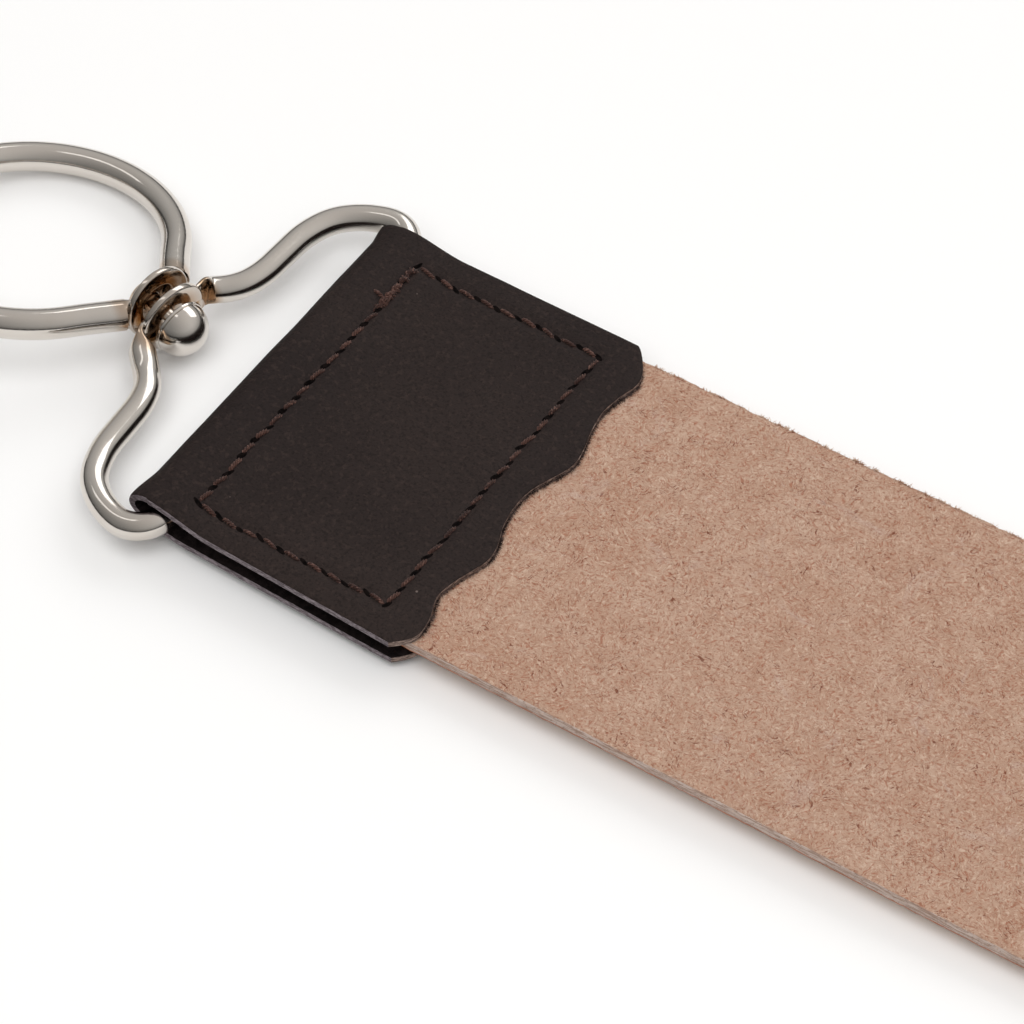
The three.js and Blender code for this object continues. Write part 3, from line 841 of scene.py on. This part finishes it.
def hole_cup(a, direction, height, side, draw):
    """A slanted slot, left by the needle, as a closed cup that is level with the leather and coloured
    near-black as painted shade inside the hole.
    """
    length = draw.uniform(0.7, 1.05)
    width = draw.uniform(0.24, 0.40)
    rings = []
    for sink in np.linspace(0, 1, HOLE_RINGS):
        grow = math.sqrt(max(0.0, 1 - sink ** 2)) * 0.999 + 0.001
        ring = []
        for j in range(HOLE_AROUND):
            t = 2 * math.pi * j / HOLE_AROUND
            along, out = length * grow * math.cos(t), width * grow * math.sin(t)
            x = a[0] + direction[0] * along - direction[1] * out
            y = a[1] + direction[1] * along + direction[0] * out
            ring.append((x, y, height(x, y) + side * (HOLE_LIP - HOLE_DEPTH * sink)))
        rings.append(np.array(ring))
    return loft(rings)


def sewn_height(face, side, seam):
    """The height of a cover's sewn face, as a function of x and y."""
    def height(x, y):
        return float(face(x) + side * (seam_sink(x, y, seam) + tab_hand(x, y)))
    return height


def make_seam(name, holes_name, corners, face, side, node, seed, extra=(), rise=STITCH_RISE):
    draw = random.Random(seed)
    height = sewn_height(face, side, corners)
    holes = seam_holes(corners, draw)
    parts, cups = [], []
    for a, b in zip(holes[:-1], holes[1:]):
        parts += stitch(a, b, height, side, 0.0, draw, rise=rise)
        run = Vector((b[0] - a[0], b[1] - a[1])).normalized()
        slant = Matrix.Rotation(math.radians(HOLE_SLANT), 2) @ run
        cups.append(hole_cup(a, slant, height, side, draw))
    for a, b, swell, over in extra:
        parts += stitch(a, b, height, side, 1.0, draw, swell, over)
    points, faces = together(parts)
    thread = make_piece(name, points, faces, [THREAD], crease=80)
    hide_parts(node)
    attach(thread, "strop")
    points, faces = together(cups)
    cup = make_piece(holes_name, points, faces, [HOLE_SHADE], crease=80)
    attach(cup, "strop")


LOOSE_ENDS = 26


def back_stitches():
    """The run sewn over twice from the far corner of the fold side, and its loose end."""
    draw = random.Random(77)
    x, top = SEAM_INSET, SEAM_HALF
    marks = [top - 0.4, top - 2.6, top - 4.2, top - 6.3, top - 7.6, top - 9.3]
    runs = []
    for a, b in zip(marks[:-1], marks[1:]):
        for k in range(2):
            lean = draw.uniform(-0.45, 0.45)
            runs.append(((x + lean, a), (x - lean * 0.6, b), 1.15, 0.34 + 0.12 * k))
    runs.append(((x + 0.1, marks[-2]), (x - 2.4, marks[-2] - 0.6), 0.9, 0.12))
    runs.append(((x - 0.2, marks[-3]), (x + 0.9, marks[-1]), 0.9, 0.30))
    for _ in range(LOOSE_ENDS):
        y = draw.uniform(marks[-1] - 0.4, marks[0])
        swing = draw.uniform(-0.9, 0.9)
        runs.append(((x + swing, y), (x - swing * draw.uniform(0.2, 1), y - draw.uniform(0.8, 2.2)),
                     draw.uniform(0.35, 0.6), draw.uniform(0.2, 0.5)))
    return runs


# -------- loose fibres
FIBRE_STEPS = 4
FIBRE_CORNERS = (0, 2.094, 4.189)  # the angles of its three-sided section
FIBRES_FROM = BAND_START + 38
FIBRES_TO = GRIP_START - 2
FAR_FIBRES = 5200
NEAR_FIBRES = 1500
TUFTS = 210
TUFT_FIBRES = 12
TUFT_SPREAD = 0.4
TAB_FIBRES = 2000


def fibre(root, away, length, thickness, draw):
    """A thin hair, thick at its root, that bends as it goes."""
    direction = Vector(away).normalized()
    bend = Vector((draw.uniform(-1, 1), draw.uniform(-1, 1), draw.uniform(-0.7, 0.7))) * 0.45
    place = Vector(root)
    rings = []
    for i in range(FIBRE_STEPS + 1):
        side = direction.orthogonal().normalized()
        other = direction.cross(side)
        radius = thickness * (1 - 0.8 * i / FIBRE_STEPS)
        rings.append(np.array([tuple(place + radius * (math.cos(a) * side + math.sin(a) * other))
                               for a in FIBRE_CORNERS]))
        direction = (direction + bend / FIBRE_STEPS).normalized()
        place = place + direction * length / FIBRE_STEPS
    return loft(rings)


def fibre_piece(name, parts, material):
    points, faces = together(parts)
    piece = make_piece(name, points, faces, [material], crease=180)
    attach(piece, "strop")


def make_band_fibres():
    """Loose fibres on both cut edges of the band, and tufts along the far one."""
    draw = random.Random(5)
    parts = []

    def root(x, edge, share):
        return x, edge, float(band_underside(x)) + share * BAND

    for side, count, edge, lowest, reach in ((1, FAR_FIBRES, BAND_FAR - 0.25, 0.35, 0.75),
                                             (-1, NEAR_FIBRES, 0.2 - BAND_NEAR, 0.5, 0.45)):
        for _ in range(count):
            x = draw.uniform(FIBRES_FROM, FIBRES_TO)
            base = root(x, edge, draw.uniform(lowest, 1.0))
            away = (draw.uniform(-1.2, 1.2), side * draw.uniform(0.3, 1), draw.uniform(-0.2, 0.6))
            parts.append(fibre(base, away, draw.uniform(0.25, 1) ** 1.6 * reach, 0.06, draw))
    for _ in range(TUFTS):
        middle = draw.uniform(FIBRES_FROM, FIBRES_TO)
        for _ in range(TUFT_FIBRES):
            x = middle + draw.gauss(0, TUFT_SPREAD)
            base = root(x, BAND_FAR - 0.2, draw.uniform(0.75, 1))
            away = (draw.uniform(-1, 1), draw.uniform(0.2, 1), draw.uniform(0, 0.6))
            parts.append(fibre(base, away, draw.uniform(0.2, 0.62), 0.08, draw))
    fibre_piece("band_edge_fibres", parts, TAN_FIBRE)


def make_tab_fibres():
    draw = random.Random(6)
    parts = []
    for _ in range(TAB_FIBRES):
        y = draw.uniform(-31.3, 31)
        x = TAB_LENGTH + float(wave(y)) - 0.1
        z = float(top_face(x)) - draw.uniform(0.5, 1.15)
        away = (draw.uniform(0.2, 1), draw.uniform(-0.9, 0.9), draw.uniform(-0.5, 0.4))
        parts.append(fibre((x, y, z), away, draw.uniform(0.2, 0.8), 0.05, draw))
    fibre_piece("tab_edge_fibres", parts, DARK_FIBRE)


# -------- wire hardware
WIRE_AROUND = 40
WIRE_STEP = 0.45
HARDWARE_CREASE = 40  # degrees
RIM = 0.32  # rounding of an eye's rims
RIM_STEPS = 6


def section(half_n, half_b, power):
    """A rounded section: a circle at power 2, nearly a rectangle at power 5."""
    t = circle(WIRE_AROUND)
    c, s = np.cos(t), np.sin(t)
    return np.column_stack([half_n * np.sign(c) * np.abs(c) ** (2 / power),
                            half_b * np.sign(s) * np.abs(s) ** (2 / power)])


def wire_shell(line, up, radius, first, last):
    """Wire along a line. first and last say how far from each end it is flat, and how long the
    change to round takes."""
    tangent = unit(np.gradient(line, axis=0))
    run = run_along(line)
    rings = []
    for k, point in enumerate(line):
        level = unit(np.cross(up, tangent[k]))
        rise = np.cross(tangent[k], level)
        flat = 0.0
        for away, end in ((run[k], first), (run[-1] - run[k], last)):
            if end:
                flat = max(flat, 1 - float(smoothstep(away, end[0], end[0] + end[1])))
        half_n = radius + (EYE_THICKNESS / 2 - 0.02 - radius) * flat
        half_b = radius + (FLAT_HALF - radius) * flat
        shape = section(half_n, half_b, 2 + 1.6 * flat)
        rings.append(point + shape[:, :1] * level + shape[:, 1:] * rise)
    return loft(rings)


def revolve(profile, around):
    """Rings of points from (radius, height) pairs, turned about the local y axis."""
    a = circle(around)
    return [np.column_stack([radius * np.sin(a), np.full(around, height), radius * np.cos(a)])
            for radius, height in profile]


def washer(outer, hole, thickness, corner=RIM, around=72):
    """A round plate with rounded rims and a hole through it."""
    level = thickness / 2 - corner
    arc = np.linspace(0, math.pi / 2, RIM_STEPS)
    profile = []
    for quarter, (middle, height) in enumerate(((outer - corner, level), (outer - corner, -level),
                                                (hole + corner, -level), (hole + corner, level))):
        for a in arc + quarter * math.pi / 2:
            profile.append((middle + corner * math.sin(a), height + corner * math.cos(a)))
    rings = revolve(profile, around)
    return np.concatenate(rings), tube_faces(len(rings), around, closed=True)


def rotation(degrees, axis):
    return Matrix.Rotation(math.radians(degrees), 3, axis)


def on_swivel(points, centre, lean=0.0):
    """Points made about the local y axis, leant back, then laid along the swivel's axis."""
    along = Vector((0, 1, 0)).rotation_difference(AXIS).to_matrix()
    turn = along @ rotation(lean, "X")
    return np.asarray(points) @ np.array(turn).T + np.array(centre)


def eye_centre(back, rise):
    return SWIVEL - AXIS * back + Vector((0, 0, rise))


def painted_reflection_near(points, centre, radius, necks):
    """How much painted brown reflection of the leather the plating gets: most on an eye's face, least on its
    rim, and some on its necks.
    """
    away = np.linalg.norm(points - np.array(centre), axis=1)
    face = 1 - 0.85 * smoothstep(away, radius - 1.1, radius - 0.3)
    neck = necks * smoothstep(away, radius, radius + 0.5) * (1 - smoothstep(away, radius + 1.6, radius + 3.0))
    return np.where(away < radius + 0.1, face, neck)


def set_painted_reflection(mesh, centre, radius, necks):
    points = np.empty(len(mesh.vertices) * 3)
    mesh.vertices.foreach_get("co", points)
    points = (points.reshape(-1, 3) - np.array([FOLD_X, 0, 0])) / MM
    # the painted brown reflection of the leather, kept as a point attribute for the nickel
    layer = mesh.attributes.new("painted_reflection", "FLOAT", "POINT")
    layer.data.foreach_set("value", painted_reflection_near(points, centre, radius, necks).astype(np.float32))


def joined(name, shells, node, body, eye):
    """Closed shells united into one solid piece of nickel. eye is (centre, radius, painted brown reflection
    on the necks).
    """
    whole, *others = [make_piece(f"{name}_{k}", points, faces, [NICKEL])
                      for k, (points, faces) in enumerate(shells)]
    for other in others:
        modifier = whole.modifiers.new("unite", "BOOLEAN")
        modifier.operation = "UNION"
        modifier.solver = "EXACT"
        modifier.object = other
        graph = bpy.context.evaluated_depsgraph_get()
        mesh = bpy.data.meshes.new_from_object(whole.evaluated_get(graph))
        whole.modifiers.clear()
        whole.data = mesh
        bpy.data.objects.remove(other)
    whole.name = name
    set_painted_reflection(whole.data, *eye)
    shade_smooth(whole.data, HARDWARE_CREASE)
    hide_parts(node)
    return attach(whole, body)


BAIL_SHOULDER = [(-3.8, 32.0), (-7.4, 29.0), (-9.3, 24.5), (-9.8, 19.0), (-10.1, 15.0), (-11.2, 11.6),
                 (-13.3, 9.1)]
BAIL_NECK = (-14.9, 7.6, 0.5)
BAIL_REACH = 3.3  # how far from the eye's middle the wire ends
BAIL_ROUNDS = 6
BAIL_FLAT = {1: (3.9, 1.1), -1: (2.2, 2.6)}  # of each half: flat length, then change
RING_ROUNDS = 14
RING_STEPS = 46
RING_ARM = [(0.0, 3.7), (-1.4, 5.6)]
RING_FLAT = (1.9, 0.4)
# How much painted brown reflection of the leather the necks, the rivet's tail and the burr get.
NECK_PAINTED_REFLECTION = {"bail": 0.8, "ring": 0.6}
TAIL_PAINTED_REFLECTION = 0.9
BURR_PAINTED_REFLECTION = 0.6


def bail_line(side, centre):
    """The middle line of one half of the bail, from the middle of the bar to inside the eye."""
    plan = [(BAR.x, 0.15), (BAR.x, 14), (BAR.x, 24)]
    for a in np.radians([0, 22.5, 45, 67.5, 90]):
        plan.append((BAR.x - BAIL_CORNER + BAIL_CORNER * math.cos(a),
                     BAIL_HALF - BAIL_CORNER + BAIL_CORNER * math.sin(a)))
    across = Vector((0, 0, 1)).cross(AXIS).normalized()
    roll = math.tan(math.radians(BAIL_ROLL))
    points = [(x, side * y, BAR.z + side * y * roll) for x, y in plan + BAIL_SHOULDER]
    points.append((BAIL_NECK[0], side * BAIL_NECK[1], BAR.z + BAIL_NECK[2]))
    points += [centre + across * side * (BAIL_EYE - 0.2), centre + across * side * BAIL_REACH]
    return relax(smooth_path(points, WIRE_STEP), BAIL_ROUNDS)


def make_bail():
    centre = eye_centre(BAIL_EYE_BACK, BAIL_EYE_RISE)
    points, faces = washer(BAIL_EYE, SHANK + BAIL_EYE_RISE + LOOSE, EYE_THICKNESS)
    shells = [(on_swivel(points, centre), faces)]
    for side, ends in BAIL_FLAT.items():
        shells.append(wire_shell(bail_line(side, centre), (0, 0, 1), WIRE, None, ends))
    return joined("bail_wire", shells, "bail_loop", "bail", (centre, BAIL_EYE, NECK_PAINTED_REFLECTION["bail"]))


def make_ring():
    centre = eye_centre(RING_EYE_BACK, RING_EYE_RISE)
    start = math.asin(RING_ARM_OUT / RING) + math.radians(RING_EASE)
    plan = list(RING_ARM)
    for a in np.linspace(start, 2 * math.pi - start, RING_STEPS):
        plan.append((-RING_SETBACK - RING * (1 - math.cos(a)), RING * math.sin(a)))
    plan += [(x, -y) for x, y in RING_ARM[::-1]]
    turn = rotation(-RING_YAW, "Z") @ rotation(-RING_DROOP, "Y") @ rotation(-RING_ROLL, "X")
    line = relax(smooth_path([turn @ Vector((x, y, 0)) + centre for x, y in plan], WIRE_STEP), RING_ROUNDS)
    up = np.array(turn @ Vector((0, 0, 1)))
    points, faces = washer(RING_EYE, SHANK + RING_EYE_RISE + LOOSE, EYE_THICKNESS)
    shells = [(on_swivel(points, centre, RING_EYE_LEAN), faces),
              wire_shell(line, up, RING_WIRE, RING_FLAT, RING_FLAT)]
    return joined("ring_wire", shells, "hanging_ring", "ring", (centre, RING_EYE, NECK_PAINTED_REFLECTION["ring"]))


BURR_BACK = RING_EYE_BACK + EYE_THICKNESS / 2 + BURR * math.sin(math.radians(RING_EYE_LEAN)) + LOOSE
TAIL_BACK = BURR_BACK + BURR_THICKNESS + LOOSE


def rivet_piece(name, node, points, faces, painted_reflection):
    piece = make_piece(name, points, faces, [NICKEL], crease=HARDWARE_CREASE,
                       attributes={"painted_reflection": painted_reflection})
    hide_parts(node)
    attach(piece, "rivet")


def make_rivet():
    profile = [(0.001, -TAIL_BACK - TAIL_HEIGHT)]
    for a in np.linspace(0.12, math.pi / 2, 9):
        profile.append((TAIL * math.sin(a), -TAIL_BACK - TAIL_HEIGHT * math.cos(a)))
    profile += [(TAIL, -TAIL_BACK + 0.12), (TAIL - 0.15, -TAIL_BACK + 0.2), (SHANK, -TAIL_BACK + 0.2),
                (SHANK, -0.02), (COLLAR - 0.15, -0.02), (COLLAR, 0.12), (COLLAR, COLLAR_HEIGHT - 0.2),
                (COLLAR - 0.12, COLLAR_HEIGHT), (COLLAR - 0.32, COLLAR_HEIGHT + 0.04)]
    first = math.asin((COLLAR_HEIGHT + 0.12 - BALL_CENTRE) / BALL)
    for a in np.linspace(first, math.pi / 2 - 0.02, 26):
        profile.append((BALL * math.cos(a), BALL_CENTRE + BALL * math.sin(a)))
    profile.append((0.001, BALL_CENTRE + BALL))
    points, faces = loft(revolve(profile, 64))
    # painted brown reflection of the leather on the tail's side of the rivet
    painted_reflection = np.where(points[:, 1] < -0.1, TAIL_PAINTED_REFLECTION, 0.0)
    rivet_piece("rivet_ball", "swivel_rivet", on_swivel(points, SWIVEL), faces, painted_reflection)


def make_burr():
    centre = SWIVEL - AXIS * (BURR_BACK + BURR_THICKNESS / 2)
    points, faces = washer(BURR, SHANK + 0.1, BURR_THICKNESS, corner=0.22)
    # painted brown reflection of the leather over the whole burr
    painted_reflection = np.full(len(points), BURR_PAINTED_REFLECTION)
    rivet_piece("burr_washer", "rivet_burr", on_swivel(points, centre), faces, painted_reflection)


# -------- camera and studio
CAMERA_LENS = 126.1
CAMERA_AZIMUTH = 32.77
CAMERA_ELEVATION = 49.6
CAMERA_DISTANCE = 0.4915
CAMERA_TARGET = (42.96, -1.31, 2.3)


def make_camera():
    data = bpy.data.cameras.new("camera")
    data.lens = CAMERA_LENS
    data.sensor_width = 36.0
    data.clip_start = 0.01
    camera = add_object("camera", data)
    a, e = math.radians(CAMERA_AZIMUTH), math.radians(CAMERA_ELEVATION)
    back = Vector((math.sin(a) * math.cos(e), -math.cos(a) * math.cos(e), math.sin(e)))
    target = Vector(in_frame(CAMERA_TARGET))
    camera.location = target + back * CAMERA_DISTANCE
    camera.rotation_euler = back.to_track_quat("Z", "Y").to_euler()
    bpy.context.scene.camera = camera


def area_light(name, place, aim, power, size, height):
    data = bpy.data.lights.new(name, "AREA")
    data.energy = power
    data.shape = "RECTANGLE"
    data.size = size
    data.size_y = height
    light = add_object(name, data)
    light.location = place
    light.rotation_euler = (Vector(place) - Vector(aim)).to_track_quat("Z", "Y").to_euler()
    return light


def make_world():
    """A pale room: grey walls and ceiling, darkest low down and towards the front left."""
    world = bpy.data.worlds.new("studio")
    bpy.context.scene.world = world
    world.use_nodes = True
    nodes = Nodes(world.node_tree)
    where = nodes.node("TexCoord").outputs["Generated"]
    height = nodes.node("SeparateXYZ", Vector=where).outputs["Z"]
    spread = nodes.node("MapRange", Value=height, From_Min=-1.0).outputs[0]
    ramp = nodes.node("ValToRGB", Fac=spread)
    floor_stop, ceiling_stop = ramp.color_ramp.elements
    floor_stop.position = 0.49
    floor_stop.color = (0.9, 0.9, 0.9, 1)
    ceiling_stop.color = (0.56, 0.54, 0.52, 1)
    for place, grey in ((0.502, 0.04), (0.55, 0.06), (0.60, 0.30), (0.75, 0.48)):
        ramp.color_ramp.elements.new(place).color = (grey, grey * 0.985, grey * 0.96, 1)
    facing = nodes.node("VectorMath", {"operation": "DOT_PRODUCT"}, i0=where,
                        i1=(0.5, 0.75, 0.0)).outputs["Value"]
    side = nodes.node("MapRange", Value=facing, From_Min=-0.7, From_Max=0.5,
                      To_Min=0.55, To_Max=1.3).outputs[0]
    nodes.put(world.node_tree.nodes["Background"], "Color",
              nodes.vector("SCALE", ramp.outputs[0], Scale=side))


FLOOR_HALF = 4.0  # metres, as are the places of the lights
FLOOR_LOW = -0.0002


def make_studio():
    corners = [(x * FLOOR_HALF, y * FLOOR_HALF, FLOOR_LOW) for x, y in ((-1, -1), (1, -1), (1, 1), (-1, 1))]
    mesh = bpy.data.meshes.new("floor")
    mesh.from_pydata(corners, [], [(0, 1, 2, 3)])
    floor = add_object("floor", mesh)
    shade = Shader("studio_floor")
    paper = shade.mix(shade.noise(3.0), linear(248, 248, 248), linear(251, 251, 251))
    shade.set(Base_Color=paper, Roughness=0.9)
    mesh.materials.append(shade.material)
    make_world()
    fill = area_light("top_softbox", (0.05, -0.45, 1.2), (-0.15, 0, 0), 10.8, 1.2, 1.2)
    fill.visible_glossy = False
    area_light("back_softbox", (-0.15, 0.95, 0.80), (-0.2, 0, 0), 3.2, 1.1, 0.6)
    area_light("strip_softbox", (-0.75, 0.0, 1.0), (-0.2, 0, 0), 0.35, 0.16, 0.8)
    bpy.context.scene.view_settings.view_transform = "Standard"


make_camera()
make_studio()
make_band()
make_cover("tab_leather", "hardware_tab", tab_skins(), 41)
make_cover("grip_leather_front", "grip_front_cover", grip_skins(1), 52)
make_cover("grip_leather_back", "grip_back_cover", grip_skins(-1), 50)
make_seam("tab_stitches_top", "tab_needle_holes_top", TAB_SEAM, top_face, 1, "tab_thread_top", 3,
          back_stitches())
make_seam("tab_stitches_bottom", "tab_needle_holes_bottom", TAB_SEAM, low_face, -1,
          "tab_thread_bottom", 4)
make_seam("grip_stitches_front", "grip_needle_holes_front", GRIP_SEAM, grip_face(1), 1,
          "grip_thread_front", 8)
make_seam("grip_stitches_back", "grip_needle_holes_back", GRIP_SEAM, grip_face(-1), -1,
          "grip_thread_back", 9, rise=-0.12)
make_band_fibres()
make_tab_fibres()
make_bail()
make_ring()
make_rivet()
make_burr()
